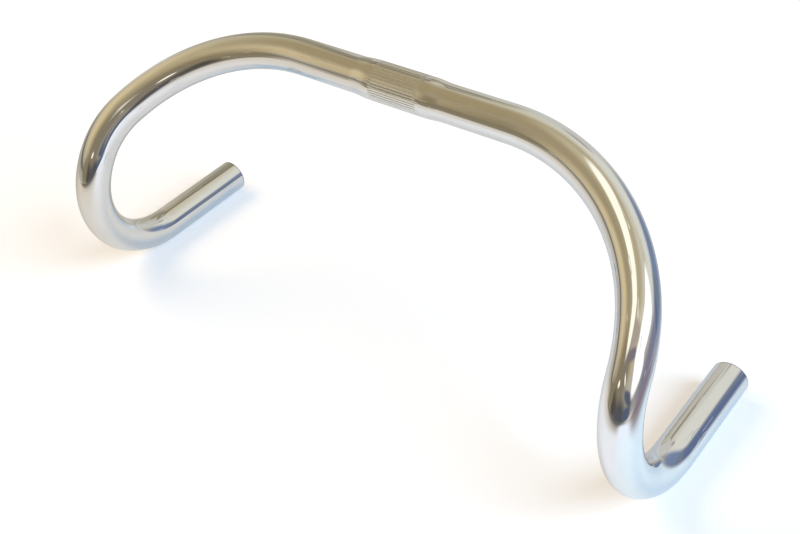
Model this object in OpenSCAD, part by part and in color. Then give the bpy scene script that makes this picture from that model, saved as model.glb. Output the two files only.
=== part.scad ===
// Drop handlebar for the track, bent from one aluminium tube.
// Millimetres. +X runs along the clamp section, the hooks reach towards -Y,
// the drops run back towards +Y and +Z is up. The origin is the middle of
// the clamp section. The bar stands on its two level drops.

/* [Tube] */
// Outside diameter of the tube
tube_d = 23.8; // [22.2:0.1:24.4]
// Thickness of the tube's wall
tube_wall = 2; // [1.5:0.1:3]
// Chamfer on both edges of each open end
end_chamfer = 0.3; // [0.1:0.05:0.6]

/* [Clamp section] */
// Diameter of the thicker middle that the stem holds
clamp_d = 25.4; // [25:0.1:31.8]
// Length of the middle at its full diameter
clamp_length = 45; // [42:1:70]
// Length of each cone between the middle and the tube
taper_length = 10.5; // [3:0.5:16]

/* [Knurl] */
// Length of the straight knurl
knurl_length = 36.2; // [20:0.2:40]
// Number of grooves round the knurl
knurl_grooves = 48; // [36:1:60]
// Width of a groove at the surface
groove_width = 0.8; // [0.5:0.05:1.1]
// Depth of a groove
groove_depth = 0.2; // [0.15:0.05:0.6]

/* [Shoulders] */
// Width over the centres of the two drops
drop_width = 425; // [400:5:480]
// Radius of the wide bend beside the straight top
shoulder_radius = 128; // [110:1:140]
// Angle that the wide bend turns through
shoulder_angle = 65.1; // [58:0.1:70]
// Slope of the wide bend's plane below the horizontal
shoulder_slope = 34.1; // [26:0.1:42]
// Radius of the short bend that leads down into the hook
ramp_radius = 74; // [60:1:95]
// Angle that the short bend turns through
ramp_angle = 27.3; // [20:0.1:34]
// Twist of the short bend's plane from the wide bend's plane
ramp_twist = 44.3; // [35:0.1:55]

/* [Hooks and drops] */
// Radius of the hook
hook_radius = 60; // [50:1:75]
// Length of the straight drop behind the hook
drop_length = 73; // [50:1:120]

/* [Hidden] */
$fn = 96;
bore_d = tube_d - 2 * tube_wall;
back = [0, 1, 0];

// A turn is kept as [cosine, sine] in whole millionths. Of the turns close to
// the angle asked for, the one nearest the unit circle is taken, so that a
// chain of bends keeps its size and each bend meets the next one exactly.
function millionths(angle) = let (
        c = cos(angle),
        s = sin(angle),
        flat = abs(s) <= abs(c),
        near = round(1e6 * (flat ? s : c)),
        tries = [for (i = [-200 : 200]) let (
            u = near + i,
            v = round(sqrt(1e12 - u * u))
        ) [abs(u * u + v * v - 1e12), u, v]],
        least = min([for (t = tries) t[0]]),
        pick = [for (t = tries) if (t[0] == least) t][0]
    )
    flat ? [sign(c) * pick[2], pick[1]] / 1e6 : [pick[1], sign(s) * pick[2]] / 1e6;

// A station on the tube's centre line is [point, direction, inward side].
function twisted(s, turn) = [s[0], s[1], turn[0] * s[2] + turn[1] * cross(s[1], s[2])];
function bent(s, radius, turn) = [
    s[0] + radius * (turn[1] * s[1] + (1 - turn[0]) * s[2]),
    turn[0] * s[1] + turn[1] * s[2],
    turn[0] * s[2] - turn[1] * s[1]
];
function unit(v) = v / norm(v);

// The two upper bends, counted from the end of the straight top
slope_turn = millionths(shoulder_slope);
shoulder_turn = millionths(shoulder_angle);
twist_turn = millionths(ramp_twist);
ramp_turn = millionths(ramp_angle);
shoulder_start = [[0, 0, 0], [1, 0, 0], [0, -slope_turn[0], -slope_turn[1]]];
shoulder_end = bent(shoulder_start, shoulder_radius, shoulder_turn);
ramp_end = bent(twisted(shoulder_end, twist_turn), ramp_radius, ramp_turn);

// The hook turns whatever direction is left straight back
hook_inward = unit(back - (back * ramp_end[1]) * ramp_end[1]);
hook_twist_turn = millionths(atan2(hook_inward * cross(ramp_end[1], ramp_end[2]), hook_inward * ramp_end[2]));
hook_turn = millionths(acos(back * ramp_end[1]));
hook_end = bent(twisted(ramp_end, hook_twist_turn), hook_radius, hook_turn);

// The straight top takes up what the bends leave of the width
top_half = drop_width / 2 - hook_end[0][0];

// Turns what it holds about Z, or about Y
module turned(turn) {
    multmatrix([[turn[0], -turn[1], 0, 0], [turn[1], turn[0], 0, 0], [0, 0, 1, 0], [0, 0, 0, 1]])
        children();
}

module rolled(turn) {
    multmatrix([[turn[0], 0, turn[1], 0], [0, 1, 0, 0], [-turn[1], 0, turn[0], 0], [0, 0, 0, 1]])
        children();
}

// A bend that starts at the origin heading +Y and turns towards -X, after a
// twist about its own line. It is turned a little too far and trimmed square
// at its end, and what follows it starts on that trimmed face.
module bend(radius, turn, twist) {
    surplus = 5;
    trim = 2 * tube_d;
    rolled(twist)
        translate([-radius, 0, 0]) {
            difference() {
                rotate_extrude(angle = round(atan2(turn[1], turn[0])) + surplus)
                    translate([radius, 0])
                        difference() {
                            circle(d = tube_d);
                            circle(d = bore_d);
                        }
                turned(turn)
                    translate([radius - trim / 2, 0, -trim / 2])
                        cube(trim);
            }
            turned(turn)
                translate([radius, 0, 0])
                    children();
        }
}

// The straight drop, with its open end deburred inside and outside
module drop() {
    ro = tube_d / 2;
    ri = bore_d / 2;
    c = end_chamfer;
    rotate([-90, 0, 0])
        rotate_extrude()
            polygon([
                [ri, 0],
                [ro, 0],
                [ro, drop_length - c],
                [ro - c, drop_length],
                [ri + c, drop_length],
                [ri, drop_length - c]
            ]);
}

// Everything on the right of the straight top
module side() {
    c = slope_turn[0];
    s = slope_turn[1];
    translate([top_half, 0, 0])
        multmatrix([[0, 1, 0, 0], [c, 0, s, 0], [s, 0, -c, 0], [0, 0, 0, 1]])
            bend(shoulder_radius, shoulder_turn, [1, 0])
                bend(ramp_radius, ramp_turn, twist_turn)
                    bend(hook_radius, hook_turn, hook_twist_turn)
                        drop();
}

// The straight top: clamp section, a cone on each side and the tube
module straight_top() {
    ro = tube_d / 2;
    ri = bore_d / 2;
    rc = clamp_d / 2;
    h = clamp_length / 2;
    rotate([0, 90, 0])
        rotate_extrude()
            polygon([
                [ri, -top_half],
                [ro, -top_half],
                [ro, -h - taper_length],
                [rc, -h],
                [rc, h],
                [ro, h + taper_length],
                [ro, top_half],
                [ri, top_half]
            ]);
}

// One V groove along the clamp section, open a little above its surface
module knurl_groove() {
    over = groove_depth / 2;
    w = groove_width / 2 * (groove_depth + over) / groove_depth;
    rotate([90, 0, 90])
        linear_extrude(height = knurl_length, center = true)
            polygon([
                [0, clamp_d / 2 - groove_depth],
                [w, clamp_d / 2 + over],
                [-w, clamp_d / 2 + over]
            ]);
}

// A rib, not a groove, lies on top of the clamp section
module knurl() {
    for (i = [0 : knurl_grooves - 1])
        rotate([(i + 0.5) * 360 / knurl_grooves, 0, 0])
            knurl_groove();
}

module handlebar() {
    color([0.86, 0.87, 0.87]) {
        difference() {
            straight_top();
            knurl();
        }
        side();
        mirror([1, 0, 0])
            side();
    }
}

handlebar();
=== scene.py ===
# %% [markdown]
# # A track drop handlebar in polished aluminium
#
# The real object is one tube. A bender has swept it into two wide shoulders, two short ramps
# and two deep hooks, and a thicker, knurled section in the middle is where the stem holds it.
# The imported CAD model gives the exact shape. This lesson makes the same shape again with a much
# finer and smoother skin, because a mirror finish shows every flat facet, and then gives it the
# finish of buffed metal and a small studio to reflect.
#
# Everything is in metres, in the CAD model's own frame: +X along the clamp section, the hooks
# reach towards -Y, the open ends point to +Y, and +Z is up.

from math import acos, atan2, cos, pi, radians, sin, sqrt

import bmesh
import bpy
from mathutils import Euler, Matrix, Vector


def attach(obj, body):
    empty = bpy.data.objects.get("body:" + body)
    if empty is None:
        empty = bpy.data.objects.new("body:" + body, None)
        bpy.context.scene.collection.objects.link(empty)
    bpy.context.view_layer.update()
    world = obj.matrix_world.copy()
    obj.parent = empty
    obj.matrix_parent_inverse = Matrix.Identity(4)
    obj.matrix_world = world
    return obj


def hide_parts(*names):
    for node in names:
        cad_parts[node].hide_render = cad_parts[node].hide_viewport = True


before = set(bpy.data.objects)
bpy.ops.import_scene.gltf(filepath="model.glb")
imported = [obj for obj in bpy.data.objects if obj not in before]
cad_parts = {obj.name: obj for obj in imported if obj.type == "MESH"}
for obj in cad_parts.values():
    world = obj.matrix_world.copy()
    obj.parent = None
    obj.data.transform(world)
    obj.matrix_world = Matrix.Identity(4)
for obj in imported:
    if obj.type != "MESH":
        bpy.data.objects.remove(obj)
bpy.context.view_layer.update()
scene = bpy.context.scene

# %% [markdown]
# ## The camera
#
# The camera comes first, so that every later choice can be looked at from the right place. Its
# place, angles and lens were found by fitting the bent tube's outline to the picture. It looks
# down at the bar from the front right, and leans a few degrees to one side, as a camera held in
# the hand does. An unturned camera looks straight down with +Y at the top of the picture, and
# the three angles tip it up about X, lean it about Y and turn it about Z, in this order.

# %% Camera
camera_place = Vector((0.39596, -0.47883, 0.36532))
tip, lean, turn = radians(50.839), radians(4.3934), radians(37.1693)
camera_data = bpy.data.cameras.new("camera")
camera_data.sensor_width = 36
camera_data.lens = 52.891
camera_data.clip_end = 20
camera = bpy.data.objects.new("camera", camera_data)
camera.matrix_world = Matrix.Translation(camera_place) @ Euler((tip, lean, turn), "XYZ").to_matrix().to_4x4()
scene.collection.objects.link(camera)
scene.camera = camera
print("camera", round(camera_place.length, 3), "m from the clamp's middle")

# %% [markdown]
# ## The route of the tube
#
# A bent tube is a list of straight runs and arcs. Each arc has a radius, the angle it turns
# through, and a side that it turns towards. The numbers are those of the CAD source. From them
# a short helper walks along the route and notes, for each arc, its centre, its axis and its
# angle, which is all that a bender needs, and all that a spin needs too.

# %% Sizes of the tube
tube_radius = 0.0119
bore_radius = 0.0099
end_chamfer = 0.0003
clamp_radius = 0.0127
clamp_half = 0.0225
taper_length = 0.0105
knurl_half = 0.0181
groove_count = 48
groove_depth = 0.0002
drop_width = 0.425
drop_length = 0.073
shoulder_radius, shoulder_angle, shoulder_slope = 0.128, radians(65.1), radians(34.1)
ramp_radius, ramp_angle, ramp_twist = 0.074, radians(27.3), radians(44.3)
hook_radius = 0.060
print("tube", 2000 * tube_radius, "mm, clamp section", 2000 * clamp_radius, "mm across")

# %% Walk the route on the right-hand side
class Arc:
    """One bend: spin about axis through centre by angle, and the arc length that gives."""

    def __init__(self, point, direction, inward, radius, angle):
        self.centre = point + radius * inward
        self.axis = direction.cross(inward)
        self.angle = angle
        self.length = radius * angle
        turn = Matrix.Rotation(angle, 3, self.axis)
        self.end = self.centre + turn @ (point - self.centre)
        self.direction = turn @ direction
        self.inward = turn @ inward


def twisted(direction, inward, angle):
    return Matrix.Rotation(angle, 3, direction) @ inward


start = Vector((0, 0, 0))
shoulder_side = Vector((0, -cos(shoulder_slope), -sin(shoulder_slope)))
shoulder = Arc(start, Vector((1, 0, 0)), shoulder_side, shoulder_radius, shoulder_angle)
ramp_side = twisted(shoulder.direction, shoulder.inward, ramp_twist)
ramp = Arc(shoulder.end, shoulder.direction, ramp_side, ramp_radius, ramp_angle)
back = Vector((0, 1, 0))
hook_side = (back - back.dot(ramp.direction) * ramp.direction).normalized()
hook = Arc(ramp.end, ramp.direction, hook_side, hook_radius, acos(back.dot(ramp.direction)))
top_half = drop_width / 2 - hook.end.x
bar_half = top_half + shoulder.length + ramp.length + hook.length + drop_length
for arc in (shoulder, ramp, hook):
    arc.centre.x += top_half
    arc.end.x += top_half
print("straight top", round(2 * top_half, 4), "m, drop starts at", [round(v, 4) for v in hook.end])

# %% [markdown]
# ## The tube
#
# A tube like this is made the way the real one is: one ring is drawn along the route. A circle
# of 192 points is extruded step by step. Along the straight parts each step moves it, in the
# arcs each step turns it about the arc's axis, and at the clamp section it is scaled. At the
# open end the same ring turns over the chamfered lip and goes back through the inside, so the
# wall is one closed surface with a real thickness. 192 is four points for each of the 48
# grooves of the knurl: rib, edge, bottom, edge.
#
# Every point also remembers where it would be if the tube were still straight. That is kept in
# a mesh attribute called straightened, and the polishing marks follow it round every bend,
# which Object coordinates could not do.

# %% Start ring at the middle of the clamp section
tube = bmesh.new()
straightened = tube.verts.layers.float_vector.new("straightened")
points_per_groove = 4
groove_bottom = 2
ring_points = points_per_groove * groove_count
bmesh.ops.create_circle(tube, cap_ends=False, radius=clamp_radius, segments=ring_points)
bmesh.ops.rotate(tube, verts=tube.verts, cent=(0, 0, 0), matrix=Matrix.Rotation(pi / 2, 3, "Y"))
for v in tube.verts:
    v[straightened] = v.co


def ring_angle(v):
    """The point's place round the straight tube, in steps from the top."""
    around = v[straightened]
    return round(atan2(around.y, around.z) / (2 * pi) * ring_points) % ring_points


def sink_grooves(ring, depth):
    bottoms = [v for v in ring if ring_angle(v) % points_per_groove == groove_bottom]
    factor = 1 - depth / clamp_radius
    bmesh.ops.scale(tube, verts=bottoms, vec=(1, factor, factor))


ring = list(tube.verts)
sink_grooves(ring, groove_depth)
print("ring of", len(ring), "points for", groove_count, "grooves")


# %% Draw the ring one step further
def next_ring(ring):
    """Extrudes the ring's edges. They are listed in the same order each run."""
    members = set(ring)
    edges = dict.fromkeys(e for v in ring for e in v.link_edges if members.issuperset(e.verts))
    made = bmesh.ops.extrude_edge_only(tube, edges=list(edges))["geom"]
    return [item for item in made if isinstance(item, bmesh.types.BMVert)]


def drawn(ring, matrix, length):
    """Extrudes the ring, moves the new one by matrix, and adds length to its straightened place."""
    ring = next_ring(ring)
    bmesh.ops.transform(tube, matrix=matrix, verts=ring)
    for v in ring:
        v[straightened] = v[straightened] + Vector((length, 0, 0))
    return ring


def widened(ring, radius):
    """Scales the ring about its own centre to a new radius, and its straightened place with it."""
    middle = sum((v.co for v in ring), Vector()) / len(ring)
    rim = max((v.co - middle).length for v in ring)
    bmesh.ops.transform(
        tube,
        matrix=Matrix.Translation(middle) @ Matrix.Scale(radius / rim, 4) @ Matrix.Translation(-middle),
        verts=ring,
    )
    for v in ring:
        around = v[straightened]
        v[straightened] = Vector((around.x, around.y * radius / rim, around.z * radius / rim))


def run(ring, vector, steps=1):
    for _ in range(steps):
        ring = drawn(ring, Matrix.Translation(vector / steps), vector.length / steps)
    return ring


def bend(ring, arc, steps, way=1):
    turn = Matrix.Rotation(way * arc.angle / steps, 4, arc.axis)
    matrix = Matrix.Translation(arc.centre) @ turn @ Matrix.Translation(-arc.centre)
    for _ in range(steps):
        ring = drawn(ring, matrix, arc.length / steps)
    return ring


# %% [markdown]
# ## Clamp section and cones
#
# The thick middle is 45 mm long and the knurl fills most of it. The grooves fade out over 0.6
# millimetres, as they do where a knurling wheel lifts off. Each cone is drawn in fourteen steps
# along a soft S, because on the real bar the swollen middle runs into the tube without an edge,
# and a mirror finish would show that edge as a hard line.

# %% Right half of the clamp section
along = Vector((1, 0, 0))
knurl_fade = 0.0006
ring = run(ring, along * (knurl_half - knurl_fade), steps=6)
ring = run(ring, along * knurl_fade)
for v in ring:
    around = v[straightened]
    radial = Vector((0, around.y, around.z)).normalized() * clamp_radius
    v.co = Vector((knurl_half, radial.y, radial.z))
soft = 0.0012
ring = run(ring, along * (clamp_half - soft - knurl_half))
cone_length = taper_length + 2 * soft
cone_steps = 14
for step in range(1, cone_steps + 1):
    t = step / cone_steps
    s = t * t * (3 - 2 * t)
    ring = run(ring, along * (cone_length / cone_steps))
    widened(ring, clamp_radius + (tube_radius - clamp_radius) * s)
ring = run(ring, along * (top_half - clamp_half + soft - cone_length), steps=4)
print("straight top ends at x =", round(max(v.co.x for v in ring), 5))

# %% [markdown]
# ## Bends and drop
#
# The steps are small enough that the chord between two rings stays within about a hundredth of
# a millimetre of the true arc. The inside is seen only at the ends, so it gets fewer steps.

# %% Outside of the bends and the drop
ring = bend(ring, shoulder, steps=46)
ring = bend(ring, ramp, steps=20)
ring = bend(ring, hook, steps=66)
print("drop begins", [round(v * 1000, 2) for v in sum((v.co for v in ring), Vector()) / len(ring)], "mm")
ring = run(ring, back * (drop_length - end_chamfer), steps=8)

# %% The lip of the open end, and back through the inside
ring = run(ring, back * end_chamfer)
widened(ring, tube_radius - end_chamfer)
ring = next_ring(ring)
widened(ring, bore_radius + end_chamfer)
ring = run(ring, back * -end_chamfer)
widened(ring, bore_radius)
ring = run(ring, back * -(drop_length - end_chamfer), steps=3)
ring = bend(ring, hook, steps=30, way=-1)
ring = bend(ring, ramp, steps=8, way=-1)
ring = bend(ring, shoulder, steps=20, way=-1)
ring = run(ring, along * -top_half, steps=3)
print("inner ring back at x =", round(max(abs(v.co.x) for v in ring), 6))

# %% [markdown]
# ## The other half
#
# The bar is its own mirror image, so the left half is mirrored from the right one and welded to
# it along the middle plane. A mirrored shape is inside out until its normals are made again.
# The extrude operator numbers its new faces in another order each run, so edges and faces are
# sorted by their points at the end. Then every run gives the same mesh.

# %% Mirror and close
for v in ring:
    v.co.x = 0
bmesh.ops.mirror(tube, geom=tube.verts[:] + tube.edges[:] + tube.faces[:], merge_dist=1e-5, axis="X")
bmesh.ops.remove_doubles(tube, verts=tube.verts, dist=1e-6)
bmesh.ops.recalc_face_normals(tube, faces=tube.faces)


def order_by_points(item):
    """A number that only this edge or face has, from its first and its last point."""
    numbers = [v.index for v in item.verts]
    return min(numbers) * len(tube.verts) + max(numbers)


tube.verts.index_update()
tube.edges.sort(key=order_by_points)
tube.faces.sort(key=order_by_points)
open_edges = [e for e in tube.edges if not e.is_manifold]
metal_volume = round(tube.calc_volume() * 1e9)
print(len(tube.faces), "faces,", len(open_edges), "open edges, volume", metal_volume, "mm3")

# %% Smooth faces, with crisp lips and groove edges
crisp_angle = radians(20)
for face in tube.faces:
    face.smooth = True
for edge in tube.edges:
    if edge.calc_face_angle() > crisp_angle:
        edge.smooth = False
print(sum(not e.smooth for e in tube.edges), "crisp edges")

# %% The tube as an object
mesh = bpy.data.meshes.new("handlebar_tube")
tube.to_mesh(mesh)
tube.free()
handlebar = bpy.data.objects.new("handlebar_tube", mesh)
scene.collection.objects.link(handlebar)
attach(handlebar, "root")
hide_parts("handlebar")
print("triangles:", sum(len(p.vertices) - 2 for p in mesh.polygons))

# %% [markdown]
# ## Small helpers for node trees
#
# Colours are easiest to judge as they look on a screen, so rgb() turns such a colour into the
# linear light that Blender works in. place() adds a node and fills its sockets, either with a
# value or with a link from another node. math(), vector_math(), mixed() and soft_step() place the
# nodes that are used most and give their result.

# %% Colour and node helpers
def rgb(red, green, blue):
    """A screen colour, 0 to 255, as linear light."""
    shares = [c / 255 for c in (red, green, blue)]
    return tuple(c / 12.92 if c < 0.04045 else ((c + 0.055) / 1.055) ** 2.4 for c in shares)


def place(tree, kind, settings=None, **sockets):
    node = tree.nodes.new(kind)
    for name, value in (settings or {}).items():
        setattr(node, name, value)
    for name, value in sockets.items():
        key = int(name[1:]) if name[0] == "i" and name[1:].isdigit() else name.replace("_", " ")
        socket = node.inputs[key]
        if isinstance(value, bpy.types.NodeSocket):
            tree.links.new(value, socket)
        else:
            socket.default_value = value
    return node


def math(tree, operation, a, b=0.0):
    return place(tree, "ShaderNodeMath", {"operation": operation}, i0=a, i1=b).outputs[0]


def mixed(tree, factor, a, b, blend="MIX"):
    node = place(tree, "ShaderNodeMix", {"data_type": "RGBA", "blend_type": blend}, i0=factor, i6=a, i7=b)
    return node.outputs[2]


def soft_step(tree, value, low, high, **limits):
    """0 below low, 1 above high and a smooth rise between them, unless limits say otherwise."""
    smooth = {"interpolation_type": "SMOOTHSTEP"}
    sockets = {"Value": value, "From_Min": low, "From_Max": high, **limits}
    return place(tree, "ShaderNodeMapRange", smooth, **sockets).outputs[0]


def vector_math(tree, operation, a, b=None, output=0, **sockets):
    if b is not None:
        sockets["i1"] = b
    return place(tree, "ShaderNodeVectorMath", {"operation": operation}, i0=a, **sockets).outputs[output]


def emptied(material_or_world):
    material_or_world.use_nodes = True
    tree = material_or_world.node_tree
    tree.nodes.clear()
    return tree


# %% [markdown]
# ## Polishing marks
#
# A buffing wheel leaves two kinds of mark. Very fine lines run round the tube, the way the wheel
# crossed it, and the surface keeps a slow waviness from the wheel's uneven pressure, which makes
# reflections swim a little. Handling adds a few long, shallow scratches and a faint haze. The wheel
# doesn't reach the bottom of the knurl's grooves, so the group gives a mask for them. It also gives a
# mask for a thin band at each open end, where a painted dark line stands in for the dark reflection
# of the rounded lip. It reads the straightened attribute, so all of them follow the bends.

# %% Node group: buffed metal
buffed = bpy.data.node_groups.new("buffed_metal", "ShaderNodeTree")
for name, kind, value in (("Line depth", "NodeSocketFloat", 0.3), ("Wave depth", "NodeSocketFloat", 0.5)):
    buffed.interface.new_socket(name, in_out="INPUT", socket_type=kind).default_value = value
for name in ("Height", "Haze", "Scratch", "Groove", "Painted rim reflection"):
    buffed.interface.new_socket(name, in_out="OUTPUT", socket_type="NodeSocketFloat")
group_in = buffed.nodes.new("NodeGroupInput")
group_out = buffed.nodes.new("NodeGroupOutput")
followed = place(buffed, "ShaderNodeAttribute", {"attribute_name": "straightened"}).outputs["Vector"]


def grain(scale, detail, roughness=0.5, slant=(0, 0, 0)):
    """Noise on the straightened bar, with its own scale along the bar and across it."""
    stretched = place(buffed, "ShaderNodeMapping", Vector=followed, Scale=scale, Rotation=slant).outputs[0]
    settings = {"Vector": stretched, "Scale": 1.0, "Detail": detail, "Roughness": roughness}
    return place(buffed, "ShaderNodeTexNoise", **settings).outputs[0]


lines = grain(scale=(9000, 60, 60), detail=2.0)
wave = grain(scale=(22, 70, 70), detail=1.0)
haze = soft_step(buffed, grain(scale=(60, 130, 130), detail=5.0, roughness=0.65), 0.42, 0.72)
scratch = soft_step(buffed, grain(scale=(45, 900, 900), detail=0.0, slant=(0, 0.35, 0.2)), 0.74, 0.80)
scratch_depth = 0.4
line_height = math(buffed, "MULTIPLY", lines, group_in.outputs["Line depth"])
wave_height = math(buffed, "MULTIPLY", wave, group_in.outputs["Wave depth"])
height = math(buffed, "ADD", line_height, wave_height)
height = math(buffed, "SUBTRACT", height, math(buffed, "MULTIPLY", scratch, scratch_depth))
buffed.links.new(height, group_out.inputs["Height"])
buffed.links.new(haze, group_out.inputs["Haze"])
buffed.links.new(scratch, group_out.inputs["Scratch"])
along_bar = place(buffed, "ShaderNodeSeparateXYZ", Vector=followed)
turned = math(buffed, "ARCTAN2", along_bar.outputs["Y"], along_bar.outputs["Z"])
ribs_passed = math(buffed, "MULTIPLY", turned, groove_count / (2 * pi))
off_rib = math(buffed, "PINGPONG", ribs_passed, 0.5)
groove = soft_step(buffed, off_rib, 0.2, 0.3)
off_middle = math(buffed, "ABSOLUTE", along_bar.outputs["X"])
in_knurl = math(buffed, "LESS_THAN", off_middle, knurl_half)
groove = math(buffed, "MULTIPLY", groove, in_knurl)
buffed.links.new(groove, group_out.inputs["Groove"])
# Painted reflection: a thin band at each open end is masked, so that the metal there can be darkened to
# stand in for the dark reflection of the rounded lip.
rim_reflection_width, rim_reflection_blur = 0.0006, 0.0005
painted_rim_reflection = soft_step(buffed, off_middle, bar_half - rim_reflection_width - rim_reflection_blur, bar_half - rim_reflection_width)
buffed.links.new(painted_rim_reflection, group_out.inputs["Painted rim reflection"])
print("buffed_metal:", len(buffed.nodes), "nodes")

# %% [markdown]
# ## Polished aluminium, and the drawn bore
#
# Polished aluminium is a bare metal: Metallic is 1, its Base Color is a pale, nearly neutral
# grey, and the Roughness is very low. Haze and scratches raise the roughness a little, and the
# grooves' bottoms are much duller. Nobody polishes the inside of a tube, so the bore is the same
# metal as it was drawn, duller and darker, with deeper lines.

# %% Polished aluminium
groove_shade, groove_roughness = 0.95, 0.36
# How dark the painted reflection at the open ends is, as a share of the dull colour.
rim_reflection_shade = 0.45
scratch_roughness = 0.06


def shaded(colour, share):
    return (*[share * c for c in colour], 1)


def bare_metal(name, colour, dull_colour, roughness, haze_roughness, line_depth, wave_depth, bump):
    material = bpy.data.materials.new(name)
    tree = emptied(material)
    marks = tree.nodes.new("ShaderNodeGroup")
    marks.node_tree = buffed
    marks.inputs["Line depth"].default_value = line_depth
    marks.inputs["Wave depth"].default_value = wave_depth
    shader = place(tree, "ShaderNodeBsdfPrincipled", Metallic=1.0)
    tone = mixed(tree, marks.outputs["Haze"], (*colour, 1), (*dull_colour, 1))
    tone = mixed(tree, marks.outputs["Groove"], tone, shaded(dull_colour, groove_shade))
    # Painted reflection: the band at each open end is darkened to stand in for the lip's dark reflection.
    tone = mixed(tree, marks.outputs["Painted rim reflection"], tone, shaded(dull_colour, rim_reflection_shade))
    tree.links.new(tone, shader.inputs["Base Color"])
    haze_range = {"To_Min": roughness, "To_Max": haze_roughness}
    hazed = place(tree, "ShaderNodeMapRange", Value=marks.outputs["Haze"], **haze_range).outputs[0]
    scratched = math(tree, "MULTIPLY", marks.outputs["Scratch"], scratch_roughness)
    unpolished = math(tree, "MULTIPLY", marks.outputs["Groove"], groove_roughness)
    rough = math(tree, "MAXIMUM", math(tree, "ADD", hazed, scratched), unpolished)
    tree.links.new(rough, shader.inputs["Roughness"])
    relief = place(tree, "ShaderNodeBump", Strength=1.0, Distance=bump, Height=marks.outputs["Height"])
    tree.links.new(relief.outputs[0], shader.inputs["Normal"])
    out = tree.nodes.new("ShaderNodeOutputMaterial")
    tree.links.new(shader.outputs[0], out.inputs[0])
    return material


polished = bare_metal(
    "polished_aluminium", (0.86, 0.86, 0.855), (0.83, 0.83, 0.825),
    roughness=0.03, haze_roughness=0.06, line_depth=0.012, wave_depth=1.0, bump=0.00012,
)
drawn_bore = bare_metal(
    "drawn_bore", (0.46, 0.46, 0.45), (0.34, 0.34, 0.33),
    roughness=0.32, haze_roughness=0.45, line_depth=0.3, wave_depth=1.0, bump=0.0001,
)
handlebar.data.materials.append(polished)
handlebar.data.materials.append(drawn_bore)
print("materials:", [m.name for m in handlebar.data.materials])

# %% [markdown]
# ## The bore's faces
#
# The faces whose points all lie within the bore's radius of the straight tube's line are the
# inside, so they take the second material.

# %% Give the inside its material
places = mesh.attributes["straightened"].data
inside_limit = bore_radius + end_chamfer / 2
for polygon in mesh.polygons:
    arounds = [places[i].vector for i in polygon.vertices]
    if all(sqrt(around.y ** 2 + around.z ** 2) < inside_limit for around in arounds):
        polygon.material_index = 1
print(sum(p.material_index for p in mesh.polygons), "faces inside the bore")

# %% [markdown]
# ## What the metal reflects
#
# A mirror has no colour of its own to show: what is seen on it is the room. A product
# photographer therefore hangs cards round a polished thing. Here a light tent does that. It is
# a dome over the bar, seen only by reflections, with soft patches of colour on it. Each patch is
# a soft-edged ellipse or box about a direction, made by one node group.
#
# The patches aren't a survey of a real room. Their directions, sizes and colours were found by a
# least-squares fit of the bar's reflections to the picture, from the camera above, and some were
# then adjusted. For another view or another polished thing they are only a start.

# %% Node group: a soft patch round a direction
patch = bpy.data.node_groups.new("soft_patch", "ShaderNodeTree")
for name in ("Direction", "Across", "Upward", "Toward"):
    patch.interface.new_socket(name, in_out="INPUT", socket_type="NodeSocketVector")
for name, value in (("Blur", 0.3), ("Corner", 2.0)):
    patch.interface.new_socket(name, in_out="INPUT", socket_type="NodeSocketFloat").default_value = value
patch.interface.new_socket("Mask", in_out="OUTPUT", socket_type="NodeSocketFloat")
patch_in = patch.nodes.new("NodeGroupInput")
patch_out = patch.nodes.new("NodeGroupOutput")


def dotted(name):
    return vector_math(patch, "DOT_PRODUCT", patch_in.outputs["Direction"], patch_in.outputs[name], "Value")


corner = patch_in.outputs["Corner"]
across = math(patch, "POWER", math(patch, "ABSOLUTE", dotted("Across")), corner)
upward = math(patch, "POWER", math(patch, "ABSOLUTE", dotted("Upward")), corner)
reach = math(patch, "POWER", math(patch, "ADD", across, upward), math(patch, "DIVIDE", 1.0, corner))
inner = math(patch, "SUBTRACT", 1.0, patch_in.outputs["Blur"])
outer = math(patch, "ADD", 1.0, patch_in.outputs["Blur"])
mask = soft_step(patch, reach, inner, outer, To_Min=1.0, To_Max=0.0)
facing = math(patch, "GREATER_THAN", dotted("Toward"), 0.0)
patch.links.new(math(patch, "MULTIPLY", mask, facing), patch_out.inputs["Mask"])
print("soft_patch:", len(patch.nodes), "nodes")

# %% The tent
tent_radius = 0.85
tent_middle = Vector((0, -0.04, -0.08))
floor_z = hook.end.z - tube_radius
tent = bmesh.new()
bmesh.ops.create_icosphere(tent, subdivisions=5, radius=tent_radius, matrix=Matrix.Translation(tent_middle))
bmesh.ops.bisect_plane(
    tent,
    geom=tent.verts[:] + tent.edges[:] + tent.faces[:],
    plane_co=(0, 0, floor_z + 0.001),
    plane_no=(0, 0, -1),
    clear_outer=True,
)
tent_mesh = bpy.data.meshes.new("light_tent")
tent.to_mesh(tent_mesh)
tent.free()
tent_object = bpy.data.objects.new("light_tent", tent_mesh)
scene.collection.objects.link(tent_object)
for ray in ("camera", "diffuse", "transmission", "volume_scatter", "shadow"):
    setattr(tent_object, "visible_" + ray, False)
print("tent stands", round(tent_radius, 2), "m round the bar, floor at z =", round(floor_z, 4))

# %% Colours on the tent
tent_material = bpy.data.materials.new("tent_light")
tent_tree = emptied(tent_material)
tent_place = place(tent_tree, "ShaderNodeTexCoord").outputs["Object"]
outward = vector_math(tent_tree, "SUBTRACT", tent_place, tuple(tent_middle))
outward = vector_math(tent_tree, "NORMALIZE", outward)
wobble_size = 0.03
wobble = place(tent_tree, "ShaderNodeTexNoise", Vector=outward, Scale=3.0, Detail=3.0)
wobble = vector_math(tent_tree, "SUBTRACT", wobble.outputs["Color"], (0.5, 0.5, 0.5))
wobble = vector_math(tent_tree, "SCALE", wobble, Scale=wobble_size)
uneven = vector_math(tent_tree, "ADD", outward, wobble)

metal_shine = 0.86


def seen(red, green, blue, gain=1.0):
    """The light that a card must give for the metal to show this screen colour."""
    return (*[gain * c / metal_shine for c in rgb(red, green, blue)], 1)


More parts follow.
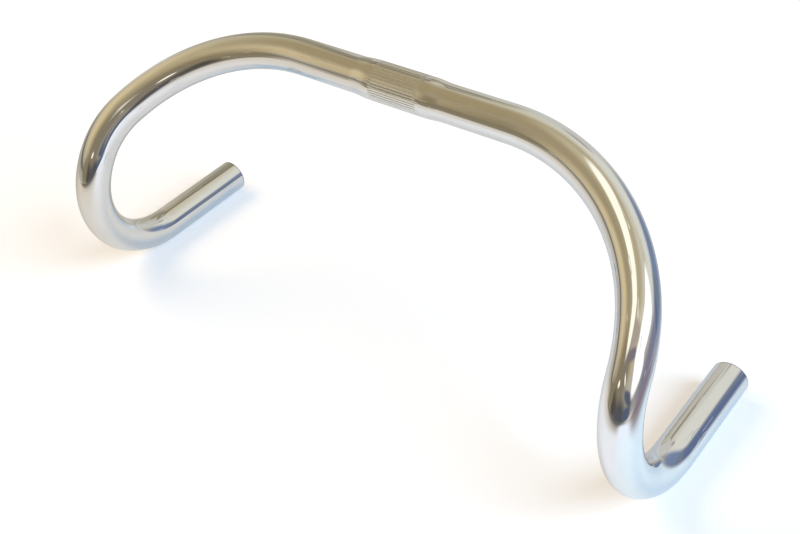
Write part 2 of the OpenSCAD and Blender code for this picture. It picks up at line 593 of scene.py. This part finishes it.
upright = place(tent_tree, "ShaderNodeSeparateXYZ", Vector=outward).outputs[2]
lowest = -0.25
heights = place(tent_tree, "ShaderNodeMapRange", Value=upright, From_Min=lowest, From_Max=1.0).outputs[0]
tent_ramp = tent_tree.nodes.new("ShaderNodeValToRGB")
tent_tree.links.new(heights, tent_ramp.inputs[0])
stops = (
    (-8, (184, 182, 177)),
    (0, (167, 160, 142)),
    (20, (178, 172, 157)),
    (40, (181, 169, 136)),
    (55, (201, 195, 175)),
    (68, (172, 160, 133)),
    (80, (186, 175, 145)),
)
while len(tent_ramp.color_ramp.elements) < len(stops):
    tent_ramp.color_ramp.elements.new(0.5)
for element, (elevation, colour) in zip(tent_ramp.color_ramp.elements, stops):
    element.position = (sin(radians(elevation)) - lowest) / (1 - lowest)
    element.color = seen(*colour)
tent_colour = tent_ramp.outputs[0]


def hang(azimuth, elevation, width, height, colour, blur=0.3, corner=2.0, tilt=0.0, gain=1.0):
    """Hangs a patch of light.

    All angles are in degrees, width and height are half sizes, and azimuth turns from +Y to +X.
    """
    global tent_colour
    a, e = radians(azimuth), radians(elevation)
    toward = Vector((cos(e) * sin(a), cos(e) * cos(a), sin(e)))
    turn = Matrix.Rotation(radians(tilt), 3, toward)
    right = turn @ Vector((cos(a), -sin(a), 0))
    up = turn @ Vector((-sin(e) * sin(a), -sin(e) * cos(a), cos(e)))
    mask = tent_tree.nodes.new("ShaderNodeGroup")
    mask.node_tree = patch
    tent_tree.links.new(uneven, mask.inputs["Direction"])
    mask.inputs["Across"].default_value = right / sin(radians(width))
    mask.inputs["Upward"].default_value = up / sin(radians(height))
    mask.inputs["Toward"].default_value = toward
    mask.inputs["Blur"].default_value = blur
    mask.inputs["Corner"].default_value = corner
    tent_colour = mixed(tent_tree, mask.outputs["Mask"], tent_colour, seen(*colour, gain))


# %% Wide and narrow patches
hang(32, 29, 47, 21, (211, 211, 202), blur=0.35, corner=3, tilt=14)
hang(-10, 9, 16, 32, (193, 192, 187), blur=0.3, tilt=8)
hang(-123, 30, 38, 13.5, (207, 189, 150), blur=0.45, tilt=-2)
hang(-97, 59, 31, 17, (157, 142, 109), blur=0.45, tilt=4)
hang(-74, 3, 7, 13, (202, 195, 184), blur=0.35, tilt=4)
hang(-177, 20, 29, 38, (135, 122, 95), blur=0.45, tilt=29)
hang(-175, 4, 15, 12, (80, 76, 67), blur=0.35)
hang(-45, 27, 12, 20, (145, 140, 123), blur=0.25, tilt=37)
hang(-35, 21, 4, 23, (185, 184, 175), blur=0.55, tilt=-5)
hang(0, 34, 5, 5, (160, 154, 148), blur=0.45)
hang(173, 27, 19, 18, (129, 120, 105), blur=0.45, tilt=3)
hang(157, 53, 27, 9, (168, 156, 144), blur=0.3)
hang(147, 40, 17, 4, (123, 114, 121), blur=0.4, tilt=-5)
hang(155, -9, 23, 20, (82, 82, 87), blur=0.35)
hang(77, 0, 31, 19, (124, 123, 141), blur=0.5, tilt=12)
hang(40, 3, 29, 17, (114, 130, 160), blur=0.35, tilt=22)
hang(50, 5, 6.5, 14, (112, 123, 139), blur=0.35, tilt=10)
hang(57, 2, 4.5, 15, (96, 110, 144), blur=0.4)
hang(132, 9, 17, 4, (86, 93, 111), blur=0.35, tilt=-27)
hang(-152, 5, 13, 12, (130, 120, 96), blur=0.4)
hang(-44, 43, 7, 5, (126, 116, 102), blur=0.5)
hang(-37, 32, 15, 3.5, (136, 128, 107), blur=0.45)
hang(-113, 5, 30, 3.5, (112, 105, 95), blur=0.4)
hang(130, -3, 13, 6, (82, 94, 114), blur=0.35)
print(sum(node.type == "GROUP" for node in tent_tree.nodes), "patches hang so far")

# %% Bright patches
hang(91, 37, 22, 14, (250, 252, 255), blur=0.12, corner=4, tilt=3, gain=1.15)
hang(114, 24, 13, 19, (250, 252, 255), blur=0.18, corner=3, tilt=11, gain=1.15)
hang(157, 26, 7, 1.5, (250, 246, 226), blur=0.3, tilt=-43)
hang(-178, 21.5, 4, 3, (252, 240, 218), blur=0.3, gain=1.2)
hang(174, 73, 9, 35, (252, 249, 230), blur=0.14, corner=2.5, tilt=-12, gain=1.05)
tent_light = place(tent_tree, "ShaderNodeEmission", Color=tent_colour, Strength=1.0)
tent_out = tent_tree.nodes.new("ShaderNodeOutputMaterial")
tent_tree.links.new(tent_light.outputs[0], tent_out.inputs[0])
tent_material.cycles.emission_sampling = "NONE"
tent_mesh.materials.append(tent_material)
print("tent material:", len(tent_tree.nodes), "nodes")

# %% [markdown]
# ## Floor, world and lamps
#
# The floor is a plain pale sheet. For the camera it is lifted to white with the Light Path node,
# so the background is white but the shadow stays, and far from the bar it runs into the white of
# the world. Two large soft lamps stand on either side, a cool one and a warm one. Where one of
# them is hidden the floor takes the other's tint, which gives the pale blue and beige shadows.
#
# The underside of the bar mirrors the floor, and in the picture it shows more colours than white.
# So lay() puts soft tints on the floor that only reflections see. They were found in the same way
# as the patches on the tent.

# %% Floor
floor = bmesh.new()
floor_half = 4
floor_middle = Matrix.Translation((0, 0, floor_z))
bmesh.ops.create_grid(floor, x_segments=1, y_segments=1, size=floor_half, matrix=floor_middle)
floor_mesh = bpy.data.meshes.new("floor")
floor.to_mesh(floor_mesh)
floor.free()
print("floor", 2 * floor_half, "m wide")
floor_object = bpy.data.objects.new("floor", floor_mesh)
scene.collection.objects.link(floor_object)
floor_material = bpy.data.materials.new("pale_floor")
floor_tree = emptied(floor_material)
floor_place = place(floor_tree, "ShaderNodeTexCoord").outputs["Object"]
floor_tint = seen(213, 205, 192)


def lay(x, y, length, width, colour, blur=0.6, turn=0.0):
    """Lays a soft tint on the floor round the point x, y. Length and width are half sizes in metres."""
    global floor_tint
    t = radians(turn)
    mask = floor_tree.nodes.new("ShaderNodeGroup")
    mask.node_tree = patch
    from_middle = vector_math(floor_tree, "SUBTRACT", floor_place, (x, y, floor_z - 1))
    floor_tree.links.new(from_middle, mask.inputs["Direction"])
    mask.inputs["Across"].default_value = Vector((cos(t), sin(t), 0)) / length
    mask.inputs["Upward"].default_value = Vector((-sin(t), cos(t), 0)) / width
    mask.inputs["Toward"].default_value = (0, 0, 1)
    mask.inputs["Blur"].default_value = blur
    floor_tint = mixed(floor_tree, mask.outputs["Mask"], floor_tint, seen(*colour))


# %% Tints that reflections see on the floor
lay(0.24, -0.80, 0.32, 0.64, (102, 101, 100), blur=0.6, turn=-87)
lay(-0.04, 0.54, 0.44, 0.64, (226, 231, 235), blur=0.9)
lay(0.53, 0.66, 0.37, 0.73, (117, 129, 153), blur=0.85, turn=-15)
lay(-0.61, 0.11, 0.32, 0.64, (172, 169, 162), blur=0.55, turn=-49)
lay(0.17, -0.21, 0.29, 0.13, (235, 237, 242), blur=0.6, turn=-18)
lay(0.66, -0.04, 0.26, 0.23, (133, 119, 125), blur=0.5, turn=-34)
lay(0.38, 0.08, 0.05, 0.15, (165, 163, 176), blur=0.65, turn=-54)
lay(-0.20, 0.07, 0.04, 0.14, (204, 214, 223), blur=0.6)
lay(0.32, -0.15, 0.25, 0.08, (230, 246, 255), blur=0.7, turn=-70)
lay(0.42, -0.36, 0.13, 0.17, (238, 243, 255), blur=0.5)
lay(-0.36, -0.78, 0.32, 0.20, (118, 108, 92), blur=0.5)
print(sum(node.type == "GROUP" for node in floor_tree.nodes), "tints on the floor")

# %% White for the camera, tinted for the metal
path = floor_tree.nodes.new("ShaderNodeLightPath")
in_metal = path.outputs["Is Glossy Ray"]
shown = math(floor_tree, "MAXIMUM", path.outputs["Is Camera Ray"], path.outputs["Is Transmission Ray"])
plain_share, tinted_share = 0.95, 0.8
lift_for_camera, lift_for_metal = 0.24, 0.25
floor_shaded = mixed(floor_tree, 1.0, floor_tint, shaded((1, 1, 1), tinted_share), blend="MULTIPLY")
floor_colour = mixed(floor_tree, in_metal, shaded((1, 1, 1), plain_share), floor_shaded)
floor_light = mixed(floor_tree, in_metal, (1, 1, 1, 1), floor_tint)
shown_lift = math(floor_tree, "MULTIPLY", shown, lift_for_camera)
metal_lift = math(floor_tree, "MULTIPLY", in_metal, lift_for_metal)
floor_lift = math(floor_tree, "ADD", shown_lift, metal_lift)
floor_paint = place(floor_tree, "ShaderNodeBsdfDiffuse", Color=floor_colour)
floor_white = place(floor_tree, "ShaderNodeEmission", Color=floor_light, Strength=floor_lift)
floor_sum = place(floor_tree, "ShaderNodeAddShader", i0=floor_paint.outputs[0], i1=floor_white.outputs[0])
from_bar = vector_math(floor_tree, "LENGTH", floor_place, output="Value")
fade_start, fade_end = 0.9, 1.8
far = soft_step(floor_tree, from_bar, fade_start, fade_end)
plain_floor = place(floor_tree, "ShaderNodeEmission", Color=(1, 1, 1, 1), Strength=1.0)
floor_mix = floor_tree.nodes.new("ShaderNodeMixShader")
floor_tree.links.new(math(floor_tree, "MULTIPLY", far, shown), floor_mix.inputs[0])
floor_tree.links.new(floor_sum.outputs[0], floor_mix.inputs[1])
floor_tree.links.new(plain_floor.outputs[0], floor_mix.inputs[2])
floor_out = floor_tree.nodes.new("ShaderNodeOutputMaterial")
floor_tree.links.new(floor_mix.outputs[0], floor_out.inputs[0])
floor_mesh.materials.append(floor_material)
print("floor material:", len(floor_tree.nodes), "nodes")

# %% World
world = bpy.data.worlds.new("studio")
scene.world = world
world_tree = emptied(world)
soft_white = place(world_tree, "ShaderNodeBackground", Color=(1, 1, 1, 1), Strength=0.3)
plain_white = place(world_tree, "ShaderNodeBackground", Color=(1, 1, 1, 1), Strength=1.0)
world_path = world_tree.nodes.new("ShaderNodeLightPath")
world_shown = world_path.outputs["Is Camera Ray"]
for ray in ("Is Glossy Ray", "Is Transmission Ray"):
    world_shown = math(world_tree, "MAXIMUM", world_shown, world_path.outputs[ray])
world_mix = world_tree.nodes.new("ShaderNodeMixShader")
world_tree.links.new(world_shown, world_mix.inputs[0])
world_tree.links.new(soft_white.outputs[0], world_mix.inputs[1])
world_tree.links.new(plain_white.outputs[0], world_mix.inputs[2])
world_out = world_tree.nodes.new("ShaderNodeOutputWorld")
world_tree.links.new(world_mix.outputs[0], world_out.inputs[0])
print("world:", len(world_tree.nodes), "nodes")

# %% Lamps
def lamp(name, azimuth, elevation, distance, size, power, colour):
    a, e = radians(azimuth), radians(elevation)
    data = bpy.data.lights.new(name, "AREA")
    data.shape = "DISK"
    data.size = size
    data.energy = power
    data.color = colour
    away = Vector((cos(e) * sin(a), cos(e) * cos(a), sin(e)))
    made = bpy.data.objects.new(name, data)
    turned_to_bar = away.to_track_quat("Z", "Y").to_matrix().to_4x4()
    made.matrix_world = Matrix.Translation(tent_middle + away * distance) @ turned_to_bar
    made.visible_glossy = False
    made.visible_camera = False
    scene.collection.objects.link(made)


lamp("window_lamp", azimuth=85, elevation=34, distance=4, size=3.4, power=155, colour=(0.6, 0.78, 1.0))
lamp("warm_lamp", azimuth=-100, elevation=42, distance=4, size=3.0, power=87, colour=(1.0, 0.73, 0.4))
scene.view_settings.view_transform = "Standard"
